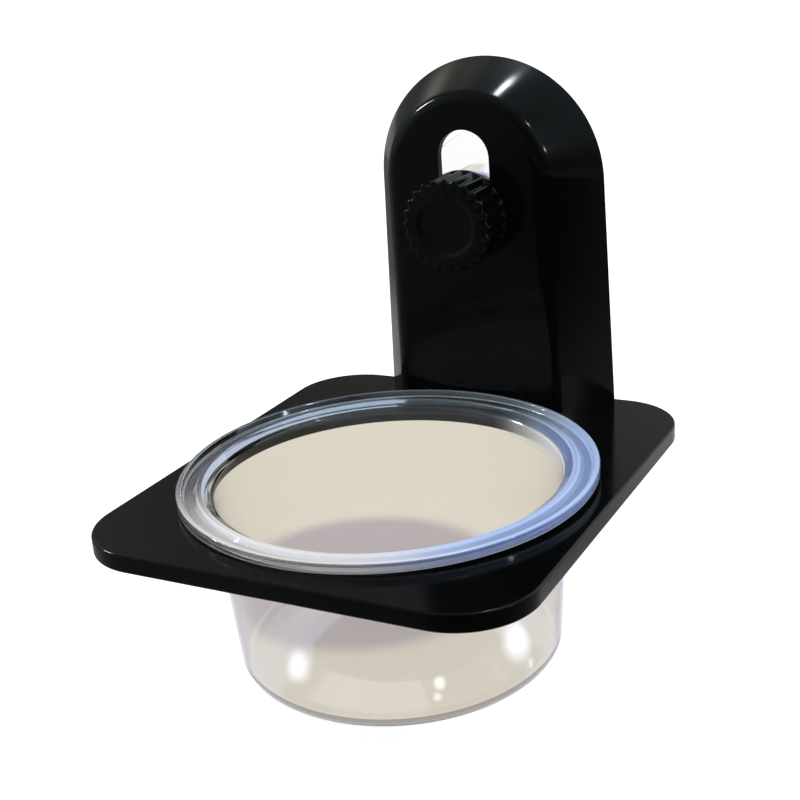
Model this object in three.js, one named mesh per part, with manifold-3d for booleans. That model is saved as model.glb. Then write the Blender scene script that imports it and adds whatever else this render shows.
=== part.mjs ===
// A feeding ledge for a glass tank: a black plate with a clear lift-out cup, and an arched hollow
// upright that a knurled knob clamps to a suction cup behind it.
//
// Millimetres, +Z up, +X to the right as seen from the front. The glass is the plane Y = 0, and
// everything stands in front of it, at negative Y. Z = 0 is the middle of the plate's thickness.

import * as THREE from 'three'
import { mergeVertices } from 'three/addons/utils/BufferGeometryUtils.js'
import Module from 'manifold-3d'

const wasm = await Module()
wasm.setup()

// Gap left between pieces that touch, and the overrun of every cut
const SEAT_GAP = 0.3
const OVERRUN = 1

// Points of a geometry that lie closer than this are one corner
const MERGE_DISTANCE = 0.0001

// Plate: a sheet with a skirt turned down round its edge
const PLATE_WIDTH = 100
const PLATE_DEPTH = 113.1
const PLATE_THICKNESS = 4
const PLATE_SHEET = 1.8
const SKIRT_WIDTH = 1.8
const FRONT_CORNER_RADIUS = 16.3
const REAR_CORNER_RADIUS = 15.7
const PLATE_EDGE_ROUND = 0.5
const HOLE_FROM_GLASS = 61.7
const HOLE_RADIUS = 40.2
const HOLE_CHAMFER = 0.5

// Arched upright, a shell that is open towards the glass. Its heights are above the plate. The
// front sizes are those of the edge before it's rounded, and the inset leads to the flat face.
const UPRIGHT_DEPTH = 14.6
const REAR_HALF_WIDTH = 29.2
const REAR_ARC_HEIGHT = 53.9
const REAR_TAPER_DEGREES = 1.55
const FRONT_HALF_WIDTH = 19.9
const FRONT_ARC_HEIGHT = 56.3
const FRONT_TAPER_DEGREES = 0.4
const FRONT_EDGE_DEPTH = 2.4
const FACE_INSET = 2.8
const FACE_ARC_RISE = 0.8
const FACE_TAPER_DEGREES = 0.9
const SIDE_WALL = 2
const FRONT_WALL = 2
const SLOT_WIDTH = 13
const SLOT_TOP_ARC_HEIGHT = 61.65
const SLOT_LOW_ARC_HEIGHT = 44

// Cup. Its heights are above the plate, apart from what is measured from its own foot.
const RIM_RADIUS = 46.3
const RIM_HEIGHT = 2.5
const RIM_WALL = 1.2
const RIM_ROUND = 0.5
const RIM_LEAN = 0.5
const CHANNEL_WIDTH = 1.7
const CHANNEL_FLOOR = 0.9
const RIDGE_RADIUS = 41.2
const RIDGE_HEIGHT = 2
const RIDGE_WIDTH = 0.9
const CUP_WALL = 1
const CUP_DEPTH = 41.6
const CUP_FOOT_RADIUS = 36.5
const CUP_FOOT_ROUND = 4
const FOOT_RING_WIDTH = 2.2
const FLOOR_RAISE = 1.8
const CUP_HOLE_GAP = 0.8

// Clamp: its height above the plate, and the stud's thread
const CLAMP_HEIGHT = 48.1
const STUD_RADIUS = 2.5
const STUD_REACH = 22.6
const STUD_HEAD_RADIUS = 7
const STUD_HEAD_THICKNESS = 1.5
const STUD_END_CHAMFER = 0.6

// Suction cup
const SUCTION_RADIUS = 18
const SUCTION_LIP = 0.8
const SUCTION_LIP_WIDTH = 0.9
const SUCTION_DISH = 4
const SUCTION_COVER = 1.7
const BOSS_RADIUS = 9.4
const BOSS_DRAFT = 0.8
const FLARE_HEIGHT = 4.6
const NECK_RECESS = 0.6

// Washer, knob and insert
const WASHER_RADIUS = 8.3
const WASHER_THICKNESS = 1
const KNOB_RADIUS = 10.95
const KNOB_DEPTH = 11.1
const KNOB_FLUTES = 24
const FLUTE_DEPTH = 0.8
const KNOB_CHAMFER = 0.5
const DISH_RADIUS = 7.4
const DISH_DEPTH = 0.8
const DISH_EDGE = 0.5
const INSERT_FLATS = 8
const INSERT_LENGTH = 6.5

// Counts of facets
const CUP_STEPS = 72
const ARCH_STEPS = 28
const CORNER_STEPS = 8
const SUCTION_STEPS = 40
const STUD_STEPS = 24
const FLUTE_STEPS = 6
const ROUND_STEPS = 5
const BEVEL_STEPS = 2
const HEXAGON_SIDES = 6

// Places that follow from the sizes above
const plateTop = PLATE_THICKNESS / 2
const sheetLow = plateTop - PLATE_SHEET
const clampZ = plateTop + CLAMP_HEIGHT
const neckRadius = SLOT_WIDTH / 2 - SEAT_GAP
const studBore = STUD_RADIUS + SEAT_GAP
const washerBack = UPRIGHT_DEPTH + SEAT_GAP
const washerFront = washerBack + WASHER_THICKNESS
const insertBack = washerFront + SEAT_GAP * 2

// Solids and meshes

function solidOf(geometry) {
  const bare = geometry.index ? geometry.toNonIndexed() : geometry.clone()
  bare.deleteAttribute('normal')
  bare.deleteAttribute('uv')
  const merged = mergeVertices(bare, MERGE_DISTANCE)
  return new wasm.Manifold(new wasm.Mesh({
    numProp: 3,
    vertProperties: new Float32Array(merged.attributes.position.array),
    triVerts: new Uint32Array(merged.index.array),
  }))
}

function geometryOf(solid) {
  const mesh = solid.getMesh()
  const geometry = new THREE.BufferGeometry()
  geometry.setAttribute('position', new THREE.BufferAttribute(mesh.vertProperties, 3))
  geometry.setIndex(new THREE.BufferAttribute(mesh.triVerts, 1))
  geometry.computeVertexNormals()
  return geometry
}

// A solid through rings of equally many points, closed by a flat cap at each end. The rings run
// counterclockwise as seen from beyond the last one.
function loft(rings) {
  const count = rings[0].length
  const positions = rings.flat().flatMap((point) => [point.x, point.y, point.z])
  const index = []
  for (let ring = 0; ring + 1 < rings.length; ring++) {
    for (let i = 0; i < count; i++) {
      const next = (i + 1) % count
      const low = ring * count
      const high = low + count
      index.push(low + i, low + next, high + next)
      index.push(low + i, high + next, high + i)
    }
  }
  const last = (rings.length - 1) * count
  for (let i = 1; i + 1 < count; i++) {
    index.push(0, i + 1, i)
    index.push(last, last + i, last + i + 1)
  }
  const geometry = new THREE.BufferGeometry()
  geometry.setAttribute('position', new THREE.Float32BufferAttribute(positions, 3))
  geometry.setIndex(index)
  return geometry
}

const points2 = (pairs) => pairs.map(([r, h]) => new THREE.Vector2(r, h))

// A solid of revolution about Z. The outline is [radius, height] pairs, counterclockwise.
function turnedUpright(outline, steps) {
  return new THREE.LatheGeometry(points2(outline), steps).rotateX(Math.PI / 2)
}

// A solid of revolution about the clamp's axis. Heights run from the glass towards the front.
function turnedOnClamp(outline, steps) {
  return new THREE.LatheGeometry(points2(outline), steps).rotateX(Math.PI).translate(0, 0, clampZ)
}

const closed = (outline) => [...outline, outline[0]]

// Points of a quadratic curve from start to end, drawn towards a corner
function rounded(start, corner, end, steps) {
  const curve = new THREE.QuadraticBezierCurve(...points2([start, corner, end]))
  return curve.getPoints(steps).map((point) => [point.x, point.y])
}

// Ledge moulding

// The plate's outline, drawn in all round by an inset
function plateShape(inset) {
  const half = PLATE_WIDTH / 2
  const front = FRONT_CORNER_RADIUS
  const rear = REAR_CORNER_RADIUS
  const quarter = Math.PI / 2
  const shape = new THREE.Shape()
  shape.moveTo(half - rear, -inset)
  shape.absarc(-half + rear, -rear, rear - inset, quarter, 2 * quarter, false)
  shape.absarc(-half + front, -PLATE_DEPTH + front, front - inset, 2 * quarter, 3 * quarter, false)
  shape.absarc(half - front, -PLATE_DEPTH + front, front - inset, 3 * quarter, 4 * quarter, false)
  shape.absarc(half - rear, -rear, rear - inset, 0, quarter, false)
  return shape
}

function plateBlank() {
  return new THREE.ExtrudeGeometry(plateShape(0), {
    depth: PLATE_THICKNESS - 2 * PLATE_EDGE_ROUND,
    curveSegments: CORNER_STEPS,
    bevelThickness: PLATE_EDGE_ROUND,
    bevelSize: PLATE_EDGE_ROUND,
    bevelOffset: -PLATE_EDGE_ROUND,
    bevelSegments: BEVEL_STEPS,
  }).translate(0, 0, PLATE_EDGE_ROUND - plateTop)
}

function plateRecess() {
  return new THREE.ExtrudeGeometry(plateShape(SKIRT_WIDTH), {
    depth: plateTop + sheetLow + OVERRUN,
    curveSegments: CORNER_STEPS,
    bevelEnabled: false,
  }).translate(0, 0, -plateTop - OVERRUN)
}

function plateHole() {
  const low = -plateTop - OVERRUN
  const high = plateTop + OVERRUN
  return turnedUpright([
    [0, low],
    [HOLE_RADIUS, low],
    [HOLE_RADIUS, plateTop - HOLE_CHAMFER],
    [HOLE_RADIUS + HOLE_CHAMFER + OVERRUN, high],
    [0, high],
  ], CUP_STEPS).translate(0, -HOLE_FROM_GLASS, 0)
}

// An arch across X and Z at one depth: two straight sides that lean in by the taper, and the arc
// that they run into.
function archRing({ halfWidth, arcZ, taper }, depth, baseZ) {
  const foot = (halfWidth + (arcZ - baseZ) * Math.sin(taper)) / Math.cos(taper)
  const ring = [new THREE.Vector3(foot, -depth, baseZ)]
  for (let i = 0; i <= ARCH_STEPS; i++) {
    const angle = taper + (Math.PI - 2 * taper) * i / ARCH_STEPS
    ring.push(new THREE.Vector3(halfWidth * Math.cos(angle), -depth, arcZ + halfWidth * Math.sin(angle)))
  }
  ring.push(new THREE.Vector3(-foot, -depth, baseZ))
  return ring
}

// The arch's sizes at a depth in front of the glass, less a wall
function archAt(depth, wall) {
  const share = depth / UPRIGHT_DEPTH
  const mix = (rear, front) => THREE.MathUtils.lerp(rear, front, share)
  return {
    halfWidth: mix(REAR_HALF_WIDTH, FRONT_HALF_WIDTH) - wall,
    arcZ: plateTop + mix(REAR_ARC_HEIGHT, FRONT_ARC_HEIGHT),
    taper: THREE.MathUtils.degToRad(mix(REAR_TAPER_DEGREES, FRONT_TAPER_DEGREES)),
  }
}

// The arches that round the front edge, from the sides over to the flat face
function edgeArches(wall, frontDepth, edgeDepth) {
  const start = archAt(frontDepth - edgeDepth, wall)
  const corner = archAt(frontDepth, wall)
  const face = {
    halfWidth: corner.halfWidth - FACE_INSET * edgeDepth / FRONT_EDGE_DEPTH,
    arcZ: corner.arcZ + FACE_ARC_RISE,
    taper: THREE.MathUtils.degToRad(FACE_TAPER_DEGREES),
  }
  const across = (key) => rounded([start[key], frontDepth - edgeDepth], [corner[key], frontDepth],
    [face[key], frontDepth], ROUND_STEPS)
  const [widths, heights, tapers] = ['halfWidth', 'arcZ', 'taper'].map(across)
  return widths.map(([halfWidth, depth], i) => ({
    halfWidth, depth, arcZ: heights[i][0], taper: tapers[i][0],
  }))
}

// The flared arch as a solid from one depth to another, with a rounded front edge
function archSolid(wall, rearDepth, frontDepth, edgeDepth, baseZ) {
  const rear = archRing(archAt(rearDepth, wall), rearDepth, baseZ)
  const edge = edgeArches(wall, frontDepth, edgeDepth).map((arch) => archRing(arch, arch.depth, baseZ))
  return loft([rear, ...edge])
}

function slot() {
  const radius = SLOT_WIDTH / 2
  const shape = new THREE.Shape()
  shape.absarc(0, plateTop + SLOT_TOP_ARC_HEIGHT, radius, 0, Math.PI, false)
  shape.absarc(0, plateTop + SLOT_LOW_ARC_HEIGHT, radius, Math.PI, 2 * Math.PI, false)
  return new THREE.ExtrudeGeometry(shape, {
    depth: FRONT_WALL + 2 * OVERRUN,
    curveSegments: STUD_STEPS / 2,
    bevelEnabled: false,
  }).rotateX(Math.PI / 2).translate(0, OVERRUN + FRONT_WALL - UPRIGHT_DEPTH, 0)
}

function bracket() {
  const footZ = plateTop - PLATE_SHEET / 2
  const outer = solidOf(archSolid(0, 0, UPRIGHT_DEPTH, FRONT_EDGE_DEPTH, footZ))
  const innerDepth = UPRIGHT_DEPTH - FRONT_WALL
  const inner = solidOf(archSolid(SIDE_WALL, -OVERRUN, innerDepth, FRONT_EDGE_DEPTH / 2, plateTop))
  return solidOf(plateBlank())
    .subtract(solidOf(plateRecess()))
    .add(outer)
    .subtract(inner)
    .subtract(solidOf(slot()))
    .subtract(solidOf(plateHole()))
}

// Feeding cup

// The cup's wall leans in from the plate's top down to the foot
const wallTopRadius = HOLE_RADIUS - CUP_HOLE_GAP

function cupOutline() {
  const foot = -CUP_DEPTH
  const floor = foot + FLOOR_RAISE
  const seat = SEAT_GAP
  const channelOuter = RIM_RADIUS - RIM_WALL - RIM_LEAN
  const channelInner = channelOuter - CHANNEL_WIDTH
  const channelTop = seat + CHANNEL_FLOOR
  const ringInner = CUP_FOOT_RADIUS - CUP_FOOT_ROUND - FOOT_RING_WIDTH
  const innerFoot = CUP_FOOT_RADIUS - CUP_WALL
  const innerRound = CUP_FOOT_ROUND - CUP_WALL / 2
  const shoulderDrop = HOLE_CHAMFER - seat
  return [
    [0, floor],
    [ringInner - FLOOR_RAISE / 2, floor],
    [ringInner, foot],
    ...rounded([CUP_FOOT_RADIUS - CUP_FOOT_ROUND, foot], [CUP_FOOT_RADIUS, foot],
      [CUP_FOOT_RADIUS, foot + CUP_FOOT_ROUND], ROUND_STEPS),
    [wallTopRadius, -shoulderDrop],
    [wallTopRadius + HOLE_CHAMFER, seat],
    [RIM_RADIUS, seat],
    ...rounded([RIM_RADIUS, RIM_HEIGHT - RIM_ROUND], [RIM_RADIUS, RIM_HEIGHT],
      [RIM_RADIUS - RIM_ROUND, RIM_HEIGHT], BEVEL_STEPS),
    [RIM_RADIUS - RIM_WALL, RIM_HEIGHT - RIM_ROUND / 2],
    [channelOuter, channelTop],
    [channelInner, channelTop],
    [RIDGE_RADIUS + RIDGE_WIDTH / 2, RIDGE_HEIGHT],
    [RIDGE_RADIUS - RIDGE_WIDTH / 2, RIDGE_HEIGHT],
    [wallTopRadius - CUP_WALL, seat],
    ...rounded([innerFoot, foot + CUP_WALL + CUP_FOOT_ROUND], [innerFoot, floor + CUP_WALL],
      [innerFoot - innerRound, floor + CUP_WALL], ROUND_STEPS),
    [0, floor + CUP_WALL],
  ]
}

function feedingCup() {
  return turnedUpright(cupOutline(), CUP_STEPS).translate(0, -HOLE_FROM_GLASS, plateTop)
}

// Suction cup and stud

const headBack = SUCTION_DISH + SUCTION_COVER + SEAT_GAP
const headFront = headBack + STUD_HEAD_THICKNESS

function suctionOutline() {
  const shoulder = UPRIGHT_DEPTH - FRONT_WALL - SEAT_GAP
  const neckFront = UPRIGHT_DEPTH - NECK_RECESS
  const bossFoot = BOSS_RADIUS + BOSS_DRAFT
  const sealRadius = SUCTION_RADIUS - SUCTION_LIP_WIDTH
  const dish = []
  for (let i = 0; i <= ROUND_STEPS; i++) {
    const radius = sealRadius * i / ROUND_STEPS
    dish.push([radius, SUCTION_DISH * (1 - (i / ROUND_STEPS) ** 2)])
  }
  return [
    ...dish,
    [SUCTION_RADIUS, 0],
    ...rounded([SUCTION_RADIUS, SUCTION_LIP], [bossFoot, SUCTION_LIP * 2], [bossFoot, FLARE_HEIGHT], ROUND_STEPS),
    [BOSS_RADIUS, shoulder],
    [neckRadius, shoulder],
    [neckRadius, neckFront],
    [studBore, neckFront],
    [studBore, headFront + SEAT_GAP],
    [STUD_HEAD_RADIUS + SEAT_GAP, headFront + SEAT_GAP],
    [STUD_HEAD_RADIUS + SEAT_GAP, headBack - SEAT_GAP],
    [0, headBack - SEAT_GAP],
  ]
}

function studOutline() {
  return [
    [0, headBack],
    [STUD_HEAD_RADIUS, headBack],
    [STUD_HEAD_RADIUS, headFront],
    [STUD_RADIUS, headFront],
    [STUD_RADIUS, STUD_REACH - STUD_END_CHAMFER],
    [STUD_RADIUS - STUD_END_CHAMFER, STUD_REACH],
    [0, STUD_REACH],
  ]
}

// Washer, knob and insert

function washerOutline() {
  return closed([
    [studBore, washerBack],
    [WASHER_RADIUS, washerBack],
    [WASHER_RADIUS, washerFront],
    [studBore, washerFront],
  ])
}

// One turn of the fluted edge, drawn in by a chamfer
function fluteRing(inset, depth) {
  const ring = []
  const count = KNOB_FLUTES * FLUTE_STEPS
  for (let i = 0; i < count; i++) {
    const angle = 2 * Math.PI * i / count
    const hollow = (1 - Math.cos(angle * KNOB_FLUTES)) / 2
    const radius = KNOB_RADIUS - inset - FLUTE_DEPTH * hollow
    ring.push(new THREE.Vector3(radius * Math.cos(angle), -depth, clampZ + radius * Math.sin(angle)))
  }
  return ring
}

function knobBlank() {
  const back = washerBack
  const front = back + KNOB_DEPTH
  return loft([
    fluteRing(KNOB_CHAMFER / 2, back),
    fluteRing(0, back + KNOB_CHAMFER / 2),
    fluteRing(0, front - KNOB_CHAMFER),
    fluteRing(KNOB_CHAMFER, front),
  ])
}

function hexagon(acrossFlats, back, front) {
  const cornerRadius = acrossFlats / Math.sqrt(3)
  const corner = (depth, i) => {
    const angle = 2 * Math.PI * i / HEXAGON_SIDES
    return new THREE.Vector3(cornerRadius * Math.cos(angle), -depth, clampZ + cornerRadius * Math.sin(angle))
  }
  const ring = (depth) => Array.from({ length: HEXAGON_SIDES }, (_, i) => corner(depth, i))
  return loft([ring(back), ring(front)])
}

function cylinderOnClamp(radius, back, front) {
  return turnedOnClamp([[0, back], [radius, back], [radius, front], [0, front]], SUCTION_STEPS)
}

function knob() {
  const front = washerBack + KNOB_DEPTH
  const dishFloor = front - DISH_DEPTH
  const dish = turnedOnClamp([
    [0, dishFloor],
    [DISH_RADIUS - DISH_EDGE, dishFloor],
    [DISH_RADIUS, front],
    [DISH_RADIUS, front + OVERRUN],
    [0, front + OVERRUN],
  ], SUCTION_STEPS)
  const washerSeat = cylinderOnClamp(WASHER_RADIUS + SEAT_GAP, washerBack - OVERRUN, washerFront + SEAT_GAP)
  const pocket = hexagon(INSERT_FLATS + 2 * SEAT_GAP, washerFront, insertBack + INSERT_LENGTH + SEAT_GAP)
  return solidOf(knobBlank())
    .subtract(solidOf(dish))
    .subtract(solidOf(washerSeat))
    .subtract(solidOf(pocket))
}

function knobInsert() {
  const end = insertBack + INSERT_LENGTH
  return solidOf(hexagon(INSERT_FLATS, insertBack, end))
    .subtract(solidOf(cylinderOnClamp(studBore, insertBack - OVERRUN, end + OVERRUN)))
}

// Materials and the assembly

const material = (color, roughness, metalness = 0, opacity = 1) => new THREE.MeshStandardMaterial({
  color, roughness, metalness, opacity, transparent: opacity < 1,
})
const blackPlastic = material(0x0b0d0d, 0.15)
const knobPlastic = material(0x101112, 0.35)
const clearPlastic = material(0xe8ecf4, 0.08, 0, 0.35)
const clearRubber = material(0xe6eaea, 0.25, 0, 0.5)
const steel = material(0xb9bcc0, 0.3, 1)
const brass = material(0xc9a24a, 0.3, 1)

function part(name, geometry, surface) {
  const mesh = new THREE.Mesh(geometry, surface)
  mesh.name = name
  return mesh
}

const ledge = new THREE.Group()
ledge.add(
  part('bracket', geometryOf(bracket()), blackPlastic),
  part('feeding_cup', geometryOf(solidOf(feedingCup())), clearPlastic),
  part('suction_cup', geometryOf(solidOf(turnedOnClamp(suctionOutline(), SUCTION_STEPS))), clearRubber),
  part('stud_screw', geometryOf(solidOf(turnedOnClamp(studOutline(), STUD_STEPS))), steel),
  part('knob_washer', geometryOf(solidOf(turnedOnClamp(washerOutline(), SUCTION_STEPS))), steel),
  part('knob', geometryOf(knob()), knobPlastic),
  part('knob_insert', geometryOf(knobInsert()), brass),
)

export default ledge
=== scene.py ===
"""The looks of a feeding ledge with a lift-out cup: fine meshes, materials, studio and camera.

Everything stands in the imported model's frame: the glass is the plane Y = 0, +Z is up and Z = 0 is
the middle of the plate's thickness. Sizes are in millimetres and MM turns them into metres.
"""

import math

import bmesh
import bpy
import numpy as np
from mathutils import Matrix, Vector


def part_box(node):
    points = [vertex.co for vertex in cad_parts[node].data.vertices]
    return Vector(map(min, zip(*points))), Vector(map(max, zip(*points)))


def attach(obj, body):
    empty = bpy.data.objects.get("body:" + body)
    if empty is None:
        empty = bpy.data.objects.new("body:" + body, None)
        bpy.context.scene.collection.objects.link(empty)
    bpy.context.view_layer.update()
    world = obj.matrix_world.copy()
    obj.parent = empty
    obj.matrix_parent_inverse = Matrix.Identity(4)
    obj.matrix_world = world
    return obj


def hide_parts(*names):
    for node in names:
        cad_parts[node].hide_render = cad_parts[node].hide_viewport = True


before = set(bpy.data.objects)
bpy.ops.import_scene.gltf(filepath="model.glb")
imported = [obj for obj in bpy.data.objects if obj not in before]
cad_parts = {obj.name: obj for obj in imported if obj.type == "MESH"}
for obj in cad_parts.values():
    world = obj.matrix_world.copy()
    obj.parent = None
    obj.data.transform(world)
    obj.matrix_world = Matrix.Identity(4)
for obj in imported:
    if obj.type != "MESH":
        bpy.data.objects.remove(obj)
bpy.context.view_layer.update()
MM = 0.001


def node_box(node):
    """The lowest and highest corner of a CAD node, in millimetres."""
    low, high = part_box(node)
    return low / MM, high / MM


bracket_low, bracket_high = node_box("bracket")
cup_low, cup_high = node_box("feeding_cup")
suction_low, suction_high = node_box("suction_cup")
stud_low, stud_high = node_box("stud_screw")
washer_low, washer_high = node_box("knob_washer")
knob_low, knob_high = node_box("knob")
insert_low, insert_high = node_box("knob_insert")

# Plate
SEAT_GAP = 0.3
PLATE_THICKNESS = 4
PLATE_SHEET = 1.8
SKIRT_WIDTH = 1.8
FRONT_CORNER_RADIUS = 16.3
REAR_CORNER_RADIUS = 15.7
PLATE_EDGE_ROUND = 0.5
HOLE_RADIUS = 40.2
HOLE_ROUND = 0.5
OVERRUN = 1

# Arched upright
UPRIGHT_DEPTH = 14.6
REAR_HALF_WIDTH = 29.2
REAR_ARC_HEIGHT = 53.9
REAR_TAPER_DEGREES = 1.55
FRONT_HALF_WIDTH = 19.9
FRONT_ARC_HEIGHT = 56.3
FRONT_TAPER_DEGREES = 0.4
FRONT_EDGE_DEPTH = 2.4
FACE_INSET = 2.8
FACE_ARC_RISE = 0.8
SLOPE_BULGE = 0.15
FACE_TAPER_DEGREES = 0.9
UPRIGHT_WALL = 2
SLOT_WIDTH = 13
SLOT_TOP_ARC_HEIGHT = 61.65
SLOT_LOW_ARC_HEIGHT = 44
EDGE_BEVEL = 0.3

# Cup, with heights above the plate
RIM_WALL = 1.2
RIM_LEAN = 0.5
CHANNEL_WIDTH = 1.7
CHANNEL_FLOOR = 0.9
RIDGE_RADIUS = 41.2
RIDGE_HEIGHT = 2
RIDGE_WIDTH = 0.9
CUP_WALL = 1
CUP_FOOT_RADIUS = 36.5
CUP_FOOT_ROUND = 4
FOOT_RING_WIDTH = 2.2
FLOOR_RAISE = 1.8
FOOT_RING_SLOPE = 9
CUP_HOLE_GAP = 0.8
CUP_TIP_DEGREES = 1.0
CUP_PLAY = Vector((-0.15, 0.1, 0))

# Suction cup, stud, washer, knob and insert
STUD_RADIUS = 2.5
THREAD_PITCH = 0.8
THREAD_DEPTH = 0.42
STUD_HEAD_THICKNESS = 1.5
SUCTION_LIP = 0.8
SUCTION_LIP_WIDTH = 0.9
SUCTION_DISH = 4
BOSS_RADIUS = 9.4
BOSS_DRAFT = 0.8
FLARE_HEIGHT = 4.6
NECK_RECESS = 0.6
WALL_OF_FRONT = 2
KNOB_FLUTES = 24
FLUTE_DEPTH = 0.8
KNOB_ROUND = 0.5
DISH_RADIUS = 7.4
DISH_DEPTH = 0.35
DISH_EDGE = 1.0
COLLAR = 1.4
COLLAR_FADE = 0.8
SEAT_BEVEL = 0.15
INSERT_FLATS = 8

# Places that follow from the frame and the sizes above
plate_top = PLATE_THICKNESS / 2
sheet_low = plate_top - PLATE_SHEET
half_width = bracket_high.x
plate_depth = -bracket_low.y
rim_radius = cup_high.x
hole_y = (cup_low.y + cup_high.y) / 2
rim_height = cup_high.z - plate_top
cup_depth = plate_top - cup_low.z
clamp_z = (suction_low.z + suction_high.z) / 2
suction_radius = suction_high.x
stud_head_radius = stud_high.x
head_back = -stud_high.y
stud_reach = -stud_low.y
washer_back = -washer_high.y
washer_front = -washer_low.y
washer_radius = washer_high.x
knob_back = -knob_high.y
knob_front = -knob_low.y
knob_radius = knob_high.x
insert_back = -insert_high.y
insert_end = -insert_low.y

# Camera, fitted to the photograph
VIEW_AZIMUTH = 28.719
VIEW_ELEVATION = 20.075
VIEW_ROLL = -4.317
VIEW_DISTANCE = 320.06
VIEW_TARGET = Vector((-5.401, -43.9, 13.518))
FOCAL_SHARE = 1.74472
SENSOR = 36


def make_camera():
    azimuth, elevation, roll = map(math.radians, (VIEW_AZIMUTH, VIEW_ELEVATION, VIEW_ROLL))
    level = math.cos(elevation)
    back = Vector((math.sin(azimuth) * level, -math.cos(azimuth) * level, math.sin(elevation)))
    right = Vector((math.cos(azimuth), math.sin(azimuth), 0))
    up = back.cross(right)
    across = right * math.cos(roll) + up * math.sin(roll)
    upwards = up * math.cos(roll) - right * math.sin(roll)
    place = (VIEW_TARGET + back * VIEW_DISTANCE) * MM
    data = bpy.data.cameras.new("camera")
    data.sensor_width = SENSOR
    data.lens = SENSOR * FOCAL_SHARE
    data.clip_start = 0.01
    data.clip_end = 100
    camera = bpy.data.objects.new("camera", data)
    turned = Matrix((across, upwards, back)).transposed().to_4x4()
    camera.matrix_world = Matrix.Translation(place) @ turned
    bpy.context.scene.collection.objects.link(camera)
    bpy.context.scene.camera = camera


make_camera()


# Mesh helpers. All points are in millimetres.


def mesh_object(name, points, faces):
    mesh = bpy.data.meshes.new(name)
    mesh.from_pydata([tuple(float(v) * MM for v in point) for point in points], [], faces)
    mesh.validate()
    obj = bpy.data.objects.new(name, mesh)
    bpy.context.scene.collection.objects.link(obj)
    return obj


def loft(name, rings, closed=False):
    """A closed body through rings of equally many points. One-point rings are tips. A closed loft
    joins its last ring to the first, and an open one gets a flat cap at each end."""
    points, starts = [], []
    for ring in rings:
        starts.append(len(points))
        points.extend(ring)
    faces = []
    pairs = list(zip(range(len(rings)), range(1, len(rings))))
    if closed:
        pairs.append((len(rings) - 1, 0))
    for a, b in pairs:
        count = max(len(rings[a]), len(rings[b]))
        for i in range(count):
            j = (i + 1) % count
            if len(rings[a]) == 1:
                faces.append((starts[a], starts[b] + j, starts[b] + i))
            elif len(rings[b]) == 1:
                faces.append((starts[a] + i, starts[a] + j, starts[b]))
            else:
                faces.append((starts[a] + i, starts[a] + j, starts[b] + j, starts[b] + i))
    if not closed:
        for ring, flip in ((0, True), (len(rings) - 1, False)):
            if len(rings[ring]) > 1:
                cap = [starts[ring] + i for i in range(len(rings[ring]))]
                faces.append(tuple(reversed(cap)) if flip else tuple(cap))
    return mesh_object(name, points, faces)


def arc_corner(start, corner, end, radius, steps):
    """Points of a round corner of that radius between two straight sides."""
    start, corner, end = (np.asarray(p, float) for p in (start, corner, end))
    before, after = start - corner, end - corner
    length_before, length_after = np.linalg.norm(before), np.linalg.norm(after)
    before, after = before / length_before, after / length_after
    half_turn = math.acos(max(-1, min(1, -float(before @ after)))) / 2
    if radius <= 0 or half_turn < 0.01:
        return [tuple(corner)]
    reach = min(radius * math.tan(half_turn), length_before * 0.48, length_after * 0.48)
    first, last, weight = corner + before * reach, corner + after * reach, math.cos(half_turn)
    found = []
    for s in np.linspace(0, 1, steps + 1):
        shares = np.array([(1 - s) ** 2, 2 * weight * s * (1 - s), s * s])
        spot = shares[0] * first + shares[1] * corner + shares[2] * last
        found.append(tuple(spot / shares.sum()))
    return found


def softened(outline, closed=False, steps=4):
    """An outline of (radius, height, corner radius) with its corners rounded."""
    found = []
    last = len(outline) - 1
    for i, (r, h, rounding) in enumerate(outline):
        if not closed and i in (0, last):
            found.append((r, h))
            continue
        before, after = outline[i - 1][:2], outline[(i + 1) % len(outline)][:2]
        found.extend(arc_corner(before, (r, h), after, rounding, steps))
    return found


def circle(radius, steps, phase=0):
    return [(radius * math.cos(2 * math.pi * i / steps + phase),
             radius * math.sin(2 * math.pi * i / steps + phase)) for i in range(steps)]


def turned_upright(name, outline, steps, centre_y, closed=False):
    """A turned body about a vertical axis, from an outline that runs counterclockwise."""
    rings = []
    for r, h in outline:
        spots = circle(r, steps) if r > 0 else [(0, 0)]
        rings.append([(x, y + centre_y, h) for x, y in spots])
    return loft(name, rings, closed)


def clamp_ring(spots, depth):
    """A ring about the clamp's axis at a depth in front of the glass."""
    return [(x, -depth, clamp_z + z) for x, z in spots]


def turned_on_clamp(name, outline, steps, closed=False):
    rings = [clamp_ring(circle(r, steps) if r > 0 else [(0, 0)], h) for r, h in outline]
    return loft(name, rings, closed)


def boolean(obj, other, operation):
    """Joins or cuts obj by another object, which is used up."""
    cut = obj.modifiers.new("boolean", "BOOLEAN")
    cut.operation = operation
    cut.solver = "EXACT"
    cut.object = other
    settle(obj)
    bpy.data.objects.remove(other)


def settle(obj):
    """Applies an object's modifiers to its mesh."""
    evaluated = obj.evaluated_get(bpy.context.evaluated_depsgraph_get())
    mesh = bpy.data.meshes.new_from_object(evaluated)
    obj.modifiers.clear()
    obj.data = mesh


def outward(obj):
    """Turns a closed body's faces outwards."""
    work = bmesh.new()
    work.from_mesh(obj.data)
    bmesh.ops.recalc_face_normals(work, faces=work.faces)
    if work.calc_volume(signed=True) < 0:
        bmesh.ops.reverse_faces(work, faces=work.faces)
    work.to_mesh(obj.data)
    work.free()
    return obj


def smooth(obj, angle=35):
    """Smooth faces with crisp edges, and normals that follow the larger faces."""
    obj.data.polygons.foreach_set("use_smooth", [True] * len(obj.data.polygons))
    obj.data.set_sharp_from_angle(angle=math.radians(angle))
    weighted = obj.modifiers.new("weighted", "WEIGHTED_NORMAL")
    weighted.keep_sharp = True
    settle(obj)
    return obj


# Ledge moulding

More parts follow.
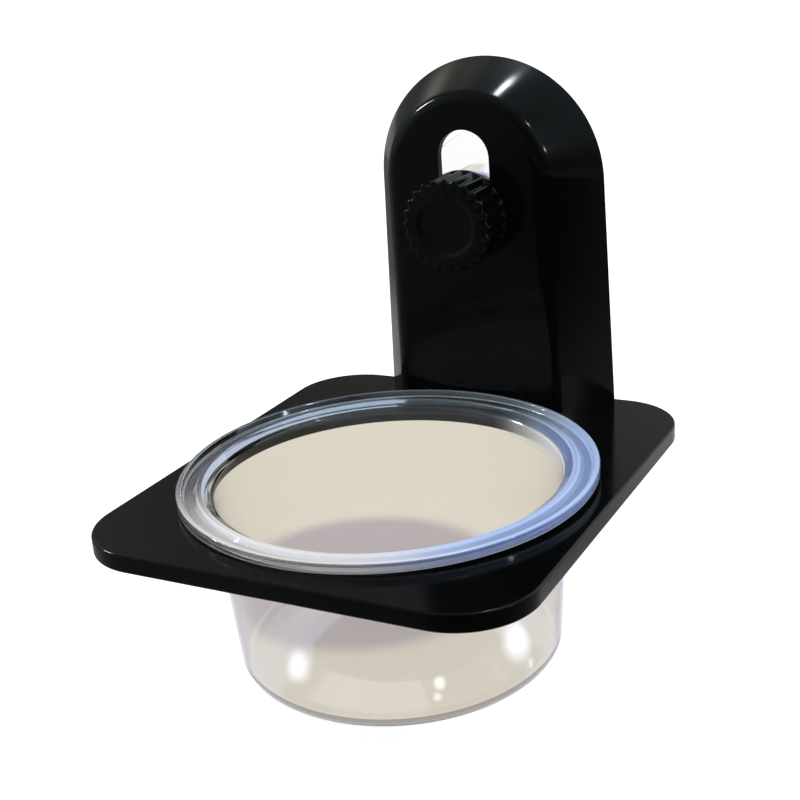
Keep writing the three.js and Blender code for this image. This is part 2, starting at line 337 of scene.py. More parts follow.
ARCH_STEPS = 96
CORNER_STEPS = 24
EDGE_STEPS = 14
SLOPE_STEPS = 8
ROUND_STEPS = 4
HOLE_STEPS = 192


def plate_ring(inset, z):
    """The plate's outline, drawn in by an inset, counterclockwise from above."""
    front, rear = FRONT_CORNER_RADIUS, REAR_CORNER_RADIUS
    corners = (
        (half_width - rear, -rear, rear, 0),
        (-half_width + rear, -rear, rear, 1),
        (-half_width + front, -plate_depth + front, front, 2),
        (half_width - front, -plate_depth + front, front, 3),
    )
    ring = []
    for x, y, radius, quarter in corners:
        for i in range(CORNER_STEPS + 1):
            angle = (quarter + i / CORNER_STEPS) * math.pi / 2
            reach = radius - inset
            ring.append((x + reach * math.cos(angle), y + reach * math.sin(angle), z))
    return ring


def plate_blank():
    rings = []
    for i in range(ROUND_STEPS + 1):
        angle = math.pi / 2 * i / ROUND_STEPS
        inset = PLATE_EDGE_ROUND * (1 - math.sin(angle))
        rings.append(plate_ring(inset, -plate_top + PLATE_EDGE_ROUND * (1 - math.cos(angle))))
    for i in range(ROUND_STEPS + 1):
        angle = math.pi / 2 * i / ROUND_STEPS
        inset = PLATE_EDGE_ROUND * (1 - math.cos(angle))
        rings.append(plate_ring(inset, plate_top - PLATE_EDGE_ROUND * (1 - math.sin(angle))))
    return loft("ledge_moulding", rings)


def arch_ring(arch, depth, base_z):
    half, arc_z, taper = arch
    foot = (half + (arc_z - base_z) * math.sin(taper)) / math.cos(taper)
    ring = [(foot, -depth, base_z)]
    for i in range(ARCH_STEPS + 1):
        angle = taper + (math.pi - 2 * taper) * i / ARCH_STEPS
        ring.append((half * math.cos(angle), -depth, arc_z + half * math.sin(angle)))
    ring.append((-foot, -depth, base_z))
    return ring


def arch_at(depth, wall):
    """Half width, height of the arc's centre and taper of the arch at a depth."""
    share = depth / UPRIGHT_DEPTH
    rear = np.array([REAR_HALF_WIDTH, REAR_ARC_HEIGHT, REAR_TAPER_DEGREES])
    front = np.array([FRONT_HALF_WIDTH, FRONT_ARC_HEIGHT, FRONT_TAPER_DEGREES])
    half, height, taper = rear + (front - rear) * share
    return np.array([half - wall, plate_top + height, math.radians(taper)])


def arch_solid(name, wall, rear_depth, front_depth, edge_depth, base_z):
    rings = []
    for s in np.linspace(0, 1, SLOPE_STEPS, endpoint=False):
        depth = rear_depth + (front_depth - edge_depth - rear_depth) * s
        bulge = np.array([4 * s * (1 - s) * SLOPE_BULGE, 0, 0])
        rings.append(arch_ring(arch_at(depth, wall) + bulge, depth, base_z))
    start = arch_at(front_depth - edge_depth, wall)
    corner = arch_at(front_depth, wall)
    inset = FACE_INSET * edge_depth / FRONT_EDGE_DEPTH
    face_taper = math.radians(FACE_TAPER_DEGREES)
    face = np.array([corner[0] - inset, corner[1] + FACE_ARC_RISE, face_taper])
    for s in np.linspace(0, 1, EDGE_STEPS + 1):
        arch = (1 - s) ** 2 * start + 2 * s * (1 - s) * corner + s * s * face
        depth = front_depth - edge_depth * (1 - s) ** 2
        rings.append(arch_ring(arch, depth, base_z))
    return outward(loft(name, rings))


def slot_cutter():
    radius = SLOT_WIDTH / 2
    arcs = ((plate_top + SLOT_TOP_ARC_HEIGHT, 0), (plate_top + SLOT_LOW_ARC_HEIGHT, math.pi))
    spots = []
    for z, start in arcs:
        for i in range(CORNER_STEPS + 1):
            angle = start + math.pi * i / CORNER_STEPS
            spots.append((radius * math.cos(angle), z + radius * math.sin(angle)))
    depths = (UPRIGHT_DEPTH - UPRIGHT_WALL - OVERRUN, UPRIGHT_DEPTH + OVERRUN)
    return outward(loft("slot_cutter", [[(x, -depth, z) for x, z in spots] for depth in depths]))


def hole_cutter():
    outline = [(0, -plate_top - OVERRUN), (HOLE_RADIUS, -plate_top - OVERRUN)]
    for i in range(ROUND_STEPS + 1):
        angle = math.radians(78) * i / ROUND_STEPS
        outline.append((HOLE_RADIUS + HOLE_ROUND * (1 - math.cos(angle)),
                        plate_top - HOLE_ROUND * (1 - math.sin(angle))))
    outline.append((outline[-1][0] + HOLE_ROUND * math.sin(math.radians(12)), plate_top + OVERRUN))
    outline.append((0, plate_top + OVERRUN))
    return outward(turned_upright("hole_cutter", outline, HOLE_STEPS, hole_y))


def make_ledge():
    ledge = outward(plate_blank())
    recess = loft("recess", [plate_ring(SKIRT_WIDTH, z) for z in (-plate_top - OVERRUN, sheet_low)])
    boolean(ledge, outward(recess), "DIFFERENCE")
    foot_z = plate_top - PLATE_SHEET / 2
    outer = arch_solid("outer", 0, 0, UPRIGHT_DEPTH, FRONT_EDGE_DEPTH, foot_z)
    boolean(ledge, outer, "UNION")
    inner = arch_solid("inner", UPRIGHT_WALL, -OVERRUN, UPRIGHT_DEPTH - UPRIGHT_WALL,
                       FRONT_EDGE_DEPTH / 2, plate_top)
    boolean(ledge, inner, "DIFFERENCE")
    boolean(ledge, slot_cutter(), "DIFFERENCE")
    boolean(ledge, hole_cutter(), "DIFFERENCE")
    bevel = ledge.modifiers.new("bevel", "BEVEL")
    bevel.width = EDGE_BEVEL * MM
    bevel.segments = 3
    bevel.limit_method = "ANGLE"
    bevel.angle_limit = math.radians(40)
    bevel.miter_outer = "MITER_ARC"
    settle(ledge)
    return smooth(ledge)


# Cup


def cup_outline():
    """Radius, height over the plate and corner radius, counterclockwise from the floor's middle."""
    foot = -cup_depth
    floor = foot + FLOOR_RAISE
    wall_top = HOLE_RADIUS - CUP_HOLE_GAP
    channel_outer = rim_radius - RIM_WALL - RIM_LEAN
    channel_inner = channel_outer - CHANNEL_WIDTH
    channel_top = SEAT_GAP + CHANNEL_FLOOR
    ring_inner = CUP_FOOT_RADIUS - CUP_FOOT_ROUND - FOOT_RING_WIDTH
    inner_foot = CUP_FOOT_RADIUS - CUP_WALL
    return [
        (0, floor, 0),
        (ring_inner - FOOT_RING_SLOPE, floor, FOOT_RING_SLOPE),
        (ring_inner, foot, FOOT_RING_SLOPE / 2),
        (CUP_FOOT_RADIUS, foot, CUP_FOOT_ROUND),
        (wall_top, -HOLE_ROUND / 2, 0.3),
        (wall_top + HOLE_ROUND, SEAT_GAP, 0.2),
        (rim_radius, SEAT_GAP, 0.25),
        (rim_radius, rim_height, 0.5),
        (rim_radius - RIM_WALL, rim_height, 0.35),
        (channel_outer, channel_top, 0.3),
        (channel_inner, channel_top, 0.3),
        (RIDGE_RADIUS + RIDGE_WIDTH / 2, RIDGE_HEIGHT, 0.2),
        (RIDGE_RADIUS - RIDGE_WIDTH / 2, RIDGE_HEIGHT, 0.25),
        (wall_top - CUP_WALL, SEAT_GAP, 1),
        (inner_foot, foot + CUP_WALL, CUP_FOOT_ROUND - CUP_WALL),
        (ring_inner, foot + CUP_WALL, FOOT_RING_SLOPE / 2),
        (ring_inner - FOOT_RING_SLOPE, floor + CUP_WALL, FOOT_RING_SLOPE),
        (0, floor + CUP_WALL, 0),
    ]


cup_lip = (Vector((0, hole_y - rim_radius, plate_top + SEAT_GAP)) + CUP_PLAY) * MM


def make_cup():
    outline = [(r, h + plate_top) for r, h in softened(cup_outline(), steps=6)]
    cup = outward(turned_upright("cup_clear", outline, HOLE_STEPS, hole_y))
    tip = Matrix.Rotation(math.radians(CUP_TIP_DEGREES), 4, "X")
    to_lip = Matrix.Translation(CUP_PLAY * MM - cup_lip)
    cup.data.transform(Matrix.Translation(cup_lip) @ tip @ to_lip)
    return smooth(cup)


# Clamp


def make_suction_cup():
    head_front = head_back + STUD_HEAD_THICKNESS
    shoulder = UPRIGHT_DEPTH - WALL_OF_FRONT - SEAT_GAP
    neck_front = UPRIGHT_DEPTH - NECK_RECESS
    neck_radius = SLOT_WIDTH / 2 - SEAT_GAP
    bore = STUD_RADIUS + SEAT_GAP
    boss_foot = BOSS_RADIUS + BOSS_DRAFT
    seal = suction_radius - SUCTION_LIP_WIDTH
    dish_steps = 16
    dish = [(seal * i / dish_steps, SUCTION_DISH * (1 - (i / dish_steps) ** 2), 0)
            for i in range(dish_steps)]
    flare_steps = 12
    flare = []
    for s in np.linspace(0, 1, flare_steps + 1):
        shares = ((1 - s) ** 2, 2 * s * (1 - s), s * s)
        radius = shares[0] * suction_radius + (shares[1] + shares[2]) * boss_foot
        depth = SUCTION_LIP * (shares[0] + 2 * shares[1]) + FLARE_HEIGHT * shares[2]
        flare.append((radius, depth, 0))
    outline = dish + [(seal, 0, 0.15), (suction_radius, 0, 0.25)] + flare + [
        (BOSS_RADIUS, shoulder, 0.6),
        (neck_radius, shoulder, 0.4),
        (neck_radius, neck_front, 0.4),
        (bore, neck_front, 0.3),
        (bore, head_front + SEAT_GAP, 0),
        (stud_head_radius + SEAT_GAP, head_front + SEAT_GAP, 0.1),
        (stud_head_radius + SEAT_GAP, head_back - SEAT_GAP, 0.1),
        (0, head_back - SEAT_GAP, 0),
    ]
    return smooth(outward(turned_on_clamp("suction_cup_soft", softened(outline), 96)))


def make_stud():
    """A round head plate and a rod with a rolled thread."""
    head_front = head_back + STUD_HEAD_THICKNESS
    steps = 48
    rings = [clamp_ring([(0, 0)], head_back)]
    for r, h in softened([
        (0, head_back, 0),
        (stud_head_radius, head_back, 0.25),
        (stud_head_radius, head_front, 0.25),
        (STUD_RADIUS, head_front, 0.2),
        (STUD_RADIUS, stud_reach, 0),
    ])[1:-1]:
        rings.append(clamp_ring(circle(r, steps), h))
    rows_per_turn = 10
    start = head_front + THREAD_PITCH
    length = stud_reach - start
    rows = int(length / THREAD_PITCH * rows_per_turn)
    for row in range(rows + 1):
        depth = start + length * row / rows
        entry = min(1, (depth - start) / THREAD_PITCH, (stud_reach - depth) / THREAD_PITCH + 0.15)
        spots = []
        for i in range(steps):
            turn = i / steps
            wave = abs(((depth - start) / THREAD_PITCH - turn) % 1 * 2 - 1)
            groove = THREAD_DEPTH * min(1, max(0, wave * 1.3 - 0.15))
            taper = 0.4 * max(0, 1 - (stud_reach - depth) / THREAD_PITCH)
            radius = STUD_RADIUS - groove * entry - taper
            angle = 2 * math.pi * turn
            spots.append((radius * math.cos(angle), radius * math.sin(angle)))
        rings.append(clamp_ring(spots, depth))
    rings.append(clamp_ring([(0, 0)], stud_reach))
    return smooth(outward(loft("stud_threaded", rings)))


def make_washer():
    bore = STUD_RADIUS + SEAT_GAP
    outline = softened([
        (bore, washer_back, 0.1),
        (washer_radius, washer_back, 0.12),
        (washer_radius, washer_front, 0.2),
        (bore, washer_front, 0.15),
    ], closed=True)
    return smooth(outward(turned_on_clamp("washer_flat", outline, 96, closed=True)))


FLUTE_STEPS = 14


def fluted(radius, share=1):
    """A ring whose flutes fade out with the share."""
    count = KNOB_FLUTES * FLUTE_STEPS
    spots = []
    for i in range(count):
        angle = 2 * math.pi * i / count
        hollow = (1 - math.cos(angle * KNOB_FLUTES)) / 2
        reach = radius - FLUTE_DEPTH * share * hollow
        spots.append((reach * math.cos(angle), reach * math.sin(angle)))
    return spots


def six_sided(flats, count):
    """A ring of many points on a hexagon."""
    spots = []
    for i in range(count):
        angle = 2 * math.pi * i / count
        off = (angle % (math.pi / 3)) - math.pi / 6
        reach = flats / 2 / math.cos(off)
        spots.append((reach * math.cos(angle), reach * math.sin(angle)))
    return spots


def make_knob():
    count = KNOB_FLUTES * FLUTE_STEPS
    pocket = insert_end + SEAT_GAP
    seat = washer_front + SEAT_GAP
    seat_radius = washer_radius + SEAT_GAP
    rings = [clamp_ring([(0, 0)], pocket)]
    rings.append(clamp_ring(six_sided(INSERT_FLATS + 2 * SEAT_GAP, count), pocket))
    rings.append(clamp_ring(six_sided(INSERT_FLATS + 2 * SEAT_GAP, count), seat))
    seat_edge = ((seat_radius, seat), (seat_radius, knob_back + SEAT_BEVEL),
                 (seat_radius + SEAT_BEVEL, knob_back))
    for r, h in seat_edge:
        rings.append(clamp_ring(circle(r, count), h))
    for i in range(ROUND_STEPS + 1):
        angle = math.pi / 2 * i / ROUND_STEPS
        inset = KNOB_ROUND * (1 - math.sin(angle))
        depth = knob_back + KNOB_ROUND * (1 - math.cos(angle))
        rings.append(clamp_ring(circle(knob_radius - inset, count), depth))
    for s in np.linspace(0, 1, ROUND_STEPS + 1):
        share = s * s * (3 - 2 * s)
        rings.append(clamp_ring(fluted(knob_radius, share), knob_back + COLLAR + COLLAR_FADE * s))
    for i in range(ROUND_STEPS + 1):
        angle = math.pi / 2 * i / ROUND_STEPS
        inset = KNOB_ROUND * (1 - math.cos(angle))
        depth = knob_front - KNOB_ROUND * (1 - math.sin(angle))
        rings.append(clamp_ring(fluted(knob_radius - inset), depth))
    dish_floor = knob_front - DISH_DEPTH
    for r, h in softened([
        (knob_radius - KNOB_ROUND - FLUTE_DEPTH, knob_front, 0),
        (DISH_RADIUS, knob_front, 0.3),
        (DISH_RADIUS - DISH_EDGE, dish_floor, 0.3),
        (0, dish_floor, 0),
    ])[1:-1]:
        rings.append(clamp_ring(circle(r, count), h))
    rings.append(clamp_ring([(0, 0)], dish_floor))
    return smooth(outward(loft("knob_fluted", rings)), angle=50)


def make_insert():
    count = 96
    bore = STUD_RADIUS + SEAT_GAP
    bevel = 0.3
    rings = [
        clamp_ring(circle(bore + bevel, count), insert_back),
        clamp_ring(six_sided(INSERT_FLATS - 2 * bevel, count), insert_back),
        clamp_ring(six_sided(INSERT_FLATS, count), insert_back + bevel),
        clamp_ring(six_sided(INSERT_FLATS, count), insert_end - bevel),
        clamp_ring(six_sided(INSERT_FLATS - 2 * bevel, count), insert_end),
        clamp_ring(circle(bore + bevel, count), insert_end),
        clamp_ring(circle(bore, count), insert_end - bevel),
        clamp_ring(circle(bore, count), insert_back + bevel),
    ]
    return smooth(outward(loft("insert_brass", rings, closed=True)), angle=25)


# Materials


def new_material(name):
    material = bpy.data.materials.new(name)
    material.use_nodes = True
    tree = material.node_tree
    return material, tree, tree.nodes["Principled BSDF"]


RANGE_SOCKETS = ("From Min", "From Max", "To Min", "To Max")
NOISE_RANGE = (0.3, 0.7)
TINT_RANGE = (0.35, 0.65)


def maths(tree, operation, *values):
    """A Math node on numbers and sockets."""
    node = tree.nodes.new("ShaderNodeMath")
    node.operation = operation
    for socket, value in zip(node.inputs, values):
        if isinstance(value, (int, float)):
            socket.default_value = value
        else:
            tree.links.new(value, socket)
    return node.outputs[0]


def vector_maths(tree, operation, *values):
    """A Vector Math node on vectors and sockets."""
    node = tree.nodes.new("ShaderNodeVectorMath")
    node.operation = operation
    for socket, value in zip(node.inputs, values):
        if isinstance(value, bpy.types.NodeSocket):
            tree.links.new(value, socket)
        else:
            socket.default_value = value
    return node


def along(tree, place, direction):
    """How far a place lies along a direction."""
    return vector_maths(tree, "DOT_PRODUCT", place, direction).outputs["Value"]


def noise(tree, scale, detail=2, rough=0.5):
    """Noise over the object's own coordinates, with features of about 1/scale metres."""
    place = tree.nodes.new("ShaderNodeTexCoord")
    texture = tree.nodes.new("ShaderNodeTexNoise")
    texture.inputs["Scale"].default_value = scale
    texture.inputs["Detail"].default_value = detail
    texture.inputs["Roughness"].default_value = rough
    tree.links.new(place.outputs["Object"], texture.inputs["Vector"])
    return texture.outputs["Fac"]


def spread(tree, value, low, high):
    """Maps noise from its usual range to another."""
    node = tree.nodes.new("ShaderNodeMapRange")
    for name, number in zip(RANGE_SOCKETS, (*NOISE_RANGE, low, high)):
        node.inputs[name].default_value = number
    tree.links.new(value, node.inputs["Value"])
    return node.outputs["Result"]


def bump(tree, shader, height, strength, distance):
    """Uneven normals from a height of that many millimetres."""
    node = tree.nodes.new("ShaderNodeBump")
    node.inputs["Strength"].default_value = strength
    node.inputs["Distance"].default_value = distance * MM
    tree.links.new(height, node.inputs["Height"])
    tree.links.new(node.outputs["Normal"], shader.inputs["Normal"])


def tinted(tree, value, low, high):
    """A colour between two by a noise value."""
    ramp = tree.nodes.new("ShaderNodeValToRGB")
    for stop, position, colour in zip(ramp.color_ramp.elements, TINT_RANGE, (low, high)):
        stop.position = position
        stop.color = (*colour, 1)
    tree.links.new(value, ramp.inputs["Fac"])
    return ramp.outputs["Color"]


def black_plastic():
    material, tree, shader = new_material("black_gloss")
    colour = tinted(tree, noise(tree, 60), (0.0012, 0.0015, 0.0016), (0.0018, 0.0022, 0.0023))
    tree.links.new(colour, shader.inputs["Base Color"])
    tree.links.new(spread(tree, noise(tree, 180, 6), 0.10, 0.15), shader.inputs["Roughness"])
    bump(tree, shader, noise(tree, 45, 1), 0.2, 0.12)
    shader.inputs["Specular IOR Level"].default_value = 0.12
    return material


def knob_plastic():
    material, tree, shader = new_material("black_satin")
    colour = tinted(tree, noise(tree, 150), (0.0014, 0.0018, 0.0019), (0.0022, 0.0027, 0.0028))
    tree.links.new(colour, shader.inputs["Base Color"])
    tree.links.new(spread(tree, noise(tree, 600, 5), 0.16, 0.26), shader.inputs["Roughness"])
    bump(tree, shader, noise(tree, 900, 3), 0.15, 0.02)
    shader.inputs["Specular IOR Level"].default_value = 0.12
    return material


CUP_CENTRE = Vector((CUP_PLAY.x, hole_y + CUP_PLAY.y, 0)) * MM
# How cloudy the cup's rim is by the distance from its axis, in millimetres: a slight milkiness of
# its own, and painted glow lines along the round edges of the lip and the ridge
CLOUD_AND_GLOW_LINES_BY_RADIUS = (
    (40.3, 0.03), (40.7, 0.5), (41.0, 0.3), (41.5, 0.3), (41.75, 0.6), (42.1, 0.2), (42.4, 0.15),
    (44.3, 0.15), (44.6, 0.5), (45.0, 0.36), (46.0, 0.36), (46.22, 0.06),
)
RIM_RAMP_FROM = 38
RIM_RAMP_TO = 47
# The rim between its inner and outer round edges
RIM_INSIDE = (40.2, 40.6)
RIM_OUTSIDE = (46.2, 46.0)
# Heights over the rim's underside, from 0 to full: the rim, its lower outer edge and the neck
# below it, and the cup's floor
RIM_HEIGHT = (0.1, 0.5)
EDGE_HEIGHT = (0.45, 0.25)
EDGE_INSIDE = (45.8, 46)
NECK_FOOT = (-5, -3)
NECK_TOP = (0.4, 0)
FLOOR_HEIGHT = (-36, -40)
# Painted light and shade by the side, as more or less cloud: a painted glow in front, painted
# shade behind and on the left, and painted light on the right and on the neck below the rim there.
# Each gives the share of the front or right at which it starts and is full, and its two levels
PAINTED_FRONT_GLOW_BY = (0.45, 0.95, 0, 0.45)
PAINTED_REAR_SHADE_BY = (-0.9, 0.5, 0.2, 1)
PAINTED_RIGHT_LIGHT_BY = (0.2, 0.9, 0, 2)
PAINTED_LEFT_SHADE_BY = (-0.4, -1, 0, 0.8)
PAINTED_NECK_GLOW_BY = (0.2, 0.8, 0, 0.8)
# Painted bright line along the rim's lower outer edge, as cloud
PAINTED_EDGE_GLOW = 0.5
# Painted light in the rim's colour: the share of the front at which the painted front light starts
# and is full, and of the right for the painted blue light
RIM_LIT_FRONT_BY = (-0.7, 0.6)
RIM_BLUE_LIGHT_BY = (0.2, 0.9)
FLOOR_TINT = (0.97, 0.96, 0.94)
WALL_TINT = (0.98, 0.98, 0.975)
# Rim colours with painted light: lit pale in front, painted blue light on the right, painted shade
# behind
RIM_LIT_FRONT = (0.84, 0.82, 0.81)
RIM_BLUE_LIGHT = (0.46, 0.60, 0.94)
RIM_SHADED_REAR = (0.58, 0.65, 0.66)


def mapped(tree, value, start, end, low=0, high=1):
    """Maps a value softly from one range to another."""
    node = tree.nodes.new("ShaderNodeMapRange")
    node.interpolation_type = "SMOOTHSTEP"
    for name, number in zip(RANGE_SOCKETS, (start, end, low, high)):
        node.inputs[name].default_value = number
    tree.links.new(value, node.inputs["Value"])
    return node.outputs["Result"]


def mapped_mm(tree, value, span, low=0, high=1):
    """Maps a length softly, with its range in millimetres."""
    return mapped(tree, value, span[0] * MM, span[1] * MM, low, high)


def mixed(tree, share, first, second):
    """A colour between two, each a colour or a socket."""
    mix = tree.nodes.new("ShaderNodeMix")
    mix.data_type = "RGBA"
    tree.links.new(share, mix.inputs[0])
    for socket, colour in zip(mix.inputs[6:8], (first, second)):
        if isinstance(colour, bpy.types.NodeSocket):
            tree.links.new(colour, socket)
        else:
            socket.default_value = (*colour, 1)
    return mix.outputs[2]


def clear_plastic():
    """Nearly clear thin walls and floor, and a slightly cloudy rim with painted light in its cloud
    and
    colour: a painted glow in front, along its round edges and on the neck to the right, painted
    blue light on its right and painted shade behind and on the left, for light guided up thick
    clear plastic."""
    material, tree, shader = new_material("clear_plastic")
    place = tree.nodes.new("ShaderNodeTexCoord").outputs["Object"]
    offset = vector_maths(tree, "SUBTRACT", place, CUP_CENTRE).outputs[0]
    flat = vector_maths(tree, "MULTIPLY", offset, (1, 1, 0)).outputs[0]
    radius = vector_maths(tree, "LENGTH", flat).outputs["Value"]
    tip = math.radians(CUP_TIP_DEGREES)
    upward = (0, -math.sin(tip), math.cos(tip))
    lip_height = Vector(upward).dot(cup_lip)
    height = maths(tree, "SUBTRACT", along(tree, place, upward), lip_height)
    front = maths(tree, "DIVIDE", along(tree, flat, (0, -1, 0)), radius)
    right = maths(tree, "DIVIDE", along(tree, flat, (1, 0, 0)), radius)

    # Cloud by radius: the rim's own slight milkiness, with painted glow lines at its round edges
    ramp = tree.nodes.new("ShaderNodeValToRGB")
    stops = ramp.color_ramp.elements
    while len(stops) < len(CLOUD_AND_GLOW_LINES_BY_RADIUS):
        stops.new(1)
    for stop, (spot, level) in zip(stops, CLOUD_AND_GLOW_LINES_BY_RADIUS):
        stop.position = (spot - RIM_RAMP_FROM) / (RIM_RAMP_TO - RIM_RAMP_FROM)
        stop.color = (level, level, level, 1)
    spot = maths(tree, "SUBTRACT", radius, RIM_RAMP_FROM * MM)
    spot = maths(tree, "DIVIDE", spot, (RIM_RAMP_TO - RIM_RAMP_FROM) * MM)
    tree.links.new(spot, ramp.inputs["Fac"])
    # Painted light in the rim's cloud: a glow in front, light on the right, shade behind and on the
    # left
    on_rim = maths(tree, "MULTIPLY", mapped_mm(tree, radius, RIM_INSIDE),
                   mapped_mm(tree, radius, RIM_OUTSIDE))
    painted_front_glow = maths(tree, "MULTIPLY", mapped(tree, front, *PAINTED_FRONT_GLOW_BY), on_rim)
    painted_side_light = maths(tree, "ADD", mapped(tree, front, *PAINTED_REAR_SHADE_BY),
                 mapped(tree, right, *PAINTED_RIGHT_LIGHT_BY))
    painted_side_light = maths(tree, "SUBTRACT", painted_side_light, mapped(tree, right, *PAINTED_LEFT_SHADE_BY))
    top = mapped_mm(tree, height, RIM_HEIGHT)
    cloud_and_glow = maths(tree, "ADD", maths(tree, "MULTIPLY", ramp.outputs["Color"], painted_side_light), painted_front_glow)
    cloud_and_glow = maths(tree, "MULTIPLY", cloud_and_glow, top)
    # Painted glow on the right side of the neck below the rim
    neck = maths(tree, "MULTIPLY", mapped_mm(tree, height, NECK_FOOT),
                 mapped_mm(tree, height, NECK_TOP))
    neck = maths(tree, "MULTIPLY", neck, mapped(tree, right, *PAINTED_NECK_GLOW_BY))
    # Painted bright line along the rim's lower outer edge
    edge = maths(tree, "MULTIPLY", mapped_mm(tree, height, EDGE_HEIGHT, 0, PAINTED_EDGE_GLOW),
                 mapped_mm(tree, radius, EDGE_INSIDE))
    cloud_and_glow = maths(tree, "ADD", maths(tree, "ADD", cloud_and_glow, neck), edge)
    # Cloud and painted glow take the place of transmission
    tree.links.new(maths(tree, "SUBTRACT", 1, cloud_and_glow), shader.inputs["Transmission Weight"])

    # Painted light in the rim's colour: lit in front, blue light on the right, shade behind
    rim = mixed(tree, mapped(tree, front, *RIM_LIT_FRONT_BY), RIM_SHADED_REAR, RIM_LIT_FRONT)
    rim = mixed(tree, mapped(tree, right, *RIM_BLUE_LIGHT_BY), rim, RIM_BLUE_LIGHT)
    body = mixed(tree, mapped_mm(tree, height, FLOOR_HEIGHT), WALL_TINT, FLOOR_TINT)
    tree.links.new(mixed(tree, top, body, rim), shader.inputs["Base Color"])
    tree.links.new(spread(tree, noise(tree, 220, 5), 0.02, 0.05), shader.inputs["Roughness"])
    shader.inputs["IOR"].default_value = 1.49
    bump(tree, shader, noise(tree, 90, 2), 0.3, 0.1)
    absorb = tree.nodes.new("ShaderNodeVolumeAbsorption")
    absorb.inputs["Color"].default_value = (0.84, 0.84, 0.88, 1)
    absorb.inputs["Density"].default_value = 20
    tree.links.new(absorb.outputs["Volume"], tree.nodes["Material Output"].inputs["Volume"])
    return material


def clear_rubber():
    material, tree, shader = new_material("clear_soft")
    colour = tinted(tree, noise(tree, 120), (0.99, 0.992, 0.992), (0.996, 0.998, 0.998))
    tree.links.new(colour, shader.inputs["Base Color"])
    tree.links.new(spread(tree, noise(tree, 400, 4), 0.04, 0.12), shader.inputs["Roughness"])
    shader.inputs["IOR"].default_value = 1.2
    shader.inputs["Transmission Weight"].default_value = 1
    bump(tree, shader, noise(tree, 250, 2), 0.1, 0.05)
    return material


def metal(name, low, high, roughness):
    material, tree, shader = new_material(name)
    tree.links.new(tinted(tree, noise(tree, 300, 3), low, high), shader.inputs["Base Color"])
    tree.links.new(spread(tree, noise(tree, 1500, 4), *roughness), shader.inputs["Roughness"])
    shader.inputs["Metallic"].default_value = 1
    bump(tree, shader, noise(tree, 2500, 3), 0.1, 0.01)
    return material


# Assembly


def place(piece, material, node, body, slot):
    piece.data.materials.clear()
    piece.data.materials.append(material)
    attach(piece, body)
    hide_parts(node)
    return piece


steel = metal("zinc_steel", (0.56, 0.57, 0.58), (0.66, 0.67, 0.68), (0.18, 0.3))
ledge = place(make_ledge(), black_plastic(), "bracket", "ledge", "black_plastic")
cup = place(make_cup(), clear_plastic(), "feeding_cup", "cup", "clear_plastic")
place(make_suction_cup(), clear_rubber(), "suction_cup", "clamp", "clear_rubber")
place(make_stud(), steel, "stud_screw", "clamp", "steel")
place(make_washer(), steel, "knob_washer", "washer", "steel")
place(make_knob(), knob_plastic(), "knob", "knob", "knob_plastic")
place(make_insert(), metal("brass", (0.72, 0.52, 0.22), (0.82, 0.62, 0.3), (0.2, 0.32)),
      "knob_insert", "knob", "brass")


# Studio. The camera sees a white floor and a white room. Through clear plastic the floor near the
# object is warm, with the ledge's soft shade on it. Reflections see a floor and a room that are
# dark in front and bright behind, with small bright spots.

FLOOR_RADIUS = 6
FLOOR_COLOUR = 0.6
FLOOR_GLOW = 0.72
# Warm floor that is seen through plastic, its shade, and how bright it is in a reflection.
# Discs have a centre and two radii in metres.
BOARD = (0.76, 0.71, 0.60)
BOARD_DISC = ((0, 0), 0.16, 0.14)
BOARD_SHADE = (0.50, 0.45, 0.45)
SHADE_DISC = ((-0.024, -0.036), 0.040, 0.032)
BOARD_IN_MIRROR = 0.45
FLOOR_MIRRORED = 0.33
# Soft discs on the floor that reflections see: centre in metres, its two radii and its colour
MIRRORED_DISCS = (
    ((0.55, -0.75), 0.84, 0.74, (0.02, 0.02, 0.02)),
    ((-0.34, 0.36), 0.3, 0.2, (0.14, 0.14, 0.12)),
    ((0.14, 0.16), 0.22, 0.05, (1, 1, 1)),
    ((0, -0.0616), 0.11, 0.055, (1.2, 1.18, 1.35)),
    ((-0.018, -0.110), 0.008, 0.002, (7, 7, 8.4)),
    ((0.053, -0.066), 0.010, 0.003, (7, 7, 8.4)),
    ((0.034, -0.097), 0.003, 0.001, (10, 10, 10)),
    ((0.030, -0.095), 0.002, 0.0005, (8, 8, 8)),
)

ROOM_PLAIN = 0.75
# Colour of the high room through plastic, and the heights at which it starts and is full
ROOM_THROUGH = (0.62, 0.72, 0.96)
ROOM_THROUGH_BY = (0.1, 0.5)
ROOM_BASE = (0.12, 0.12, 0.12)
COOL = Vector((0.82, 1, 1.12))
WARM = Vector((1, 1, 0.84))
# Soft brightness in the room: azimuth, elevation, level, how narrow it is, and tint
ROOM_GLOWS = (
    (140, 20, 2.2, 10, COOL),
    (-170, 0, 0.7, 40, WARM),
    (180, 60, 1.8, 60, COOL),
    (180, 40, 1.0, 60, COOL),
    (80, 30, 1.0, 25, COOL),
    (-60, 20, 0.8, 4, COOL),
    (90, 80, 0.5, 4, COOL),
    (-120, 30, 0.5, 60, WARM),
    (-133, 40, 0.2, 25, WARM),
    (-168, 25, 0.2, 25, WARM),
    (-127, 29, 0.85, 150, WARM),
    (130, 63, 0.15, 40, COOL),
    (-136, 52, 0.45, 60, WARM),
    (171, 71.7, 25, 1200, COOL),
    (-82, 29, 90, 2500, COOL),
    (-82, 34, 90, 2500, COOL),
    (-82, 39, 90, 2500, COOL),
    (79, 46.5, 40, 4000, COOL),
    (88, 18, 25, 4000, COOL),
)


def room_direction(azimuth, elevation):
    """A direction by its turn to the right of the front and its height, in degrees."""
    azimuth, elevation = math.radians(azimuth), math.radians(elevation)
    level = math.cos(elevation)
    return Vector((math.sin(azimuth) * level, -math.cos(azimuth) * level, math.sin(elevation)))


